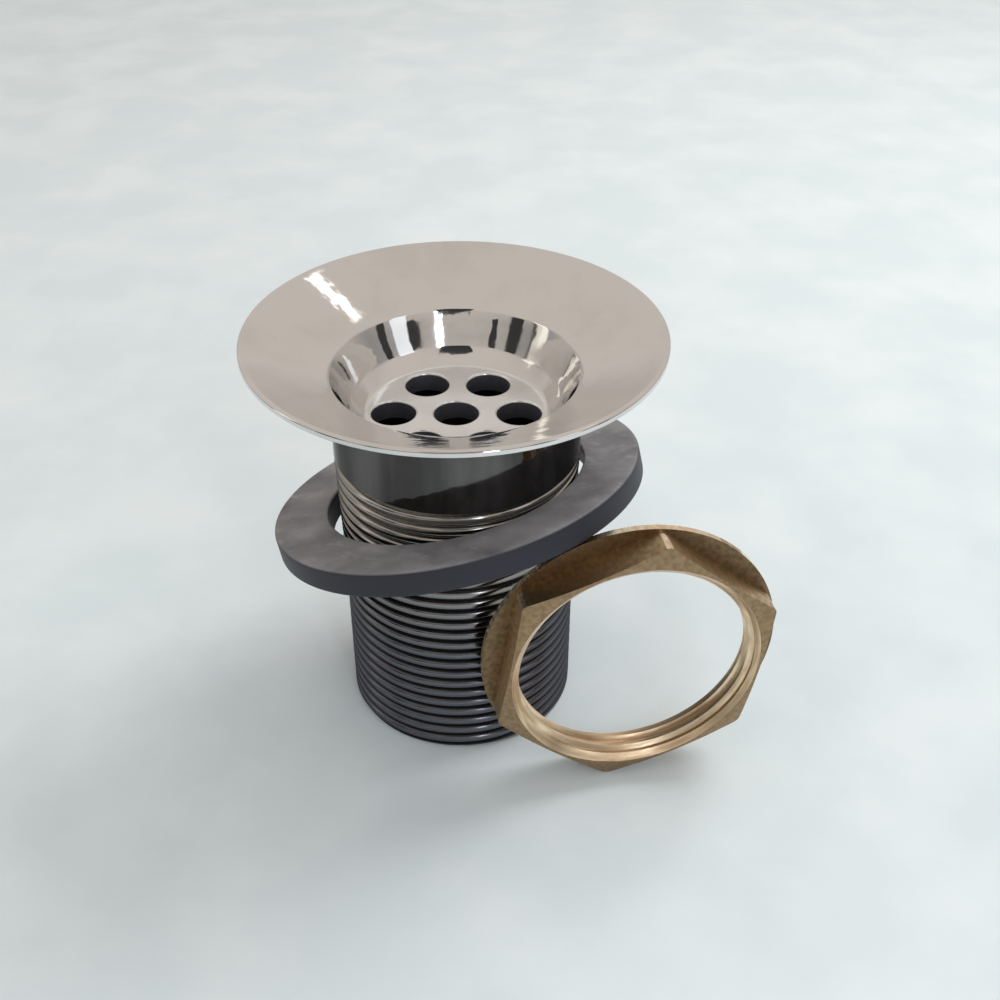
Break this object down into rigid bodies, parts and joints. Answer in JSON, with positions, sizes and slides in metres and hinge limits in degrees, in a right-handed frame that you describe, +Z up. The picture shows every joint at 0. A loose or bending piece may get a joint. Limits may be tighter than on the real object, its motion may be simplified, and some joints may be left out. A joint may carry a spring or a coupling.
{
  "type": "waste coupling",
  "caption": "Flanged chrome basin waste coupling with a dished strainer grid and threaded barrel, shown with its loose rubber washer and brass hexagonal backnut",
  "frame": {"origin": "on the barrel's axis, in the plane of its open lower end, on which the part stands", "axes": "+Z up along the barrel towards the flange; -Y faces the viewer, where the backnut stands; +X to the right"},
  "size_m": [0.091, 0.071, 0.076],
  "materials": {
    "chrome_plate": "chrome plate over brass, polished on the flange and bowl, duller on the thread",
    "black_rubber": "moulded black rubber, matt, scuffed and dusty on its upper face",
    "raw_brass": "unplated brass, dull on the flats, bright on the turned edges and the thread"
  },
  "bodies": {
    "root": {"coupling_body": "chrome_plate", "rubber_washer": "black_rubber", "back_nut": "raw_brass"}
  },
  "joints": []
}
